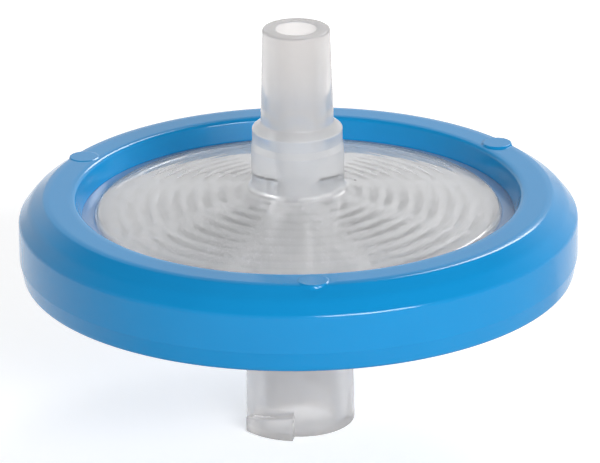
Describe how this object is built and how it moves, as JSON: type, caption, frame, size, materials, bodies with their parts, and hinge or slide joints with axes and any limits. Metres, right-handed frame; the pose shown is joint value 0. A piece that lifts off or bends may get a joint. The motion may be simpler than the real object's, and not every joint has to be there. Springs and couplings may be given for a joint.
{
  "type": "syringe filter",
  "caption": "Disc-shaped syringe filter: clear housings around a membrane, sealed by a blue moulded ring, with a Luer lock socket below and a Luer slip tip above.",
  "frame": {"origin": "centre of the inlet socket's end face, which is the middle of the underside", "axes": "+Z along the stem from the inlet to the outlet; +X to the right and -Y to the front as the object is usually seen"},
  "size_m": [0.033, 0.033, 0.0245],
  "materials": {
    "clear_plastic": "natural unpigmented polypropylene, see-through with a faint milky haze",
    "membrane": "matt white porous membrane",
    "blue_plastic": "blue moulded polypropylene with a soft sheen"
  },
  "bodies": {
    "root": {"outlet_housing": "clear_plastic", "inlet_housing": "clear_plastic", "filter_membrane": "membrane", "sealing_ring": "blue_plastic"}
  },
  "joints": []
}
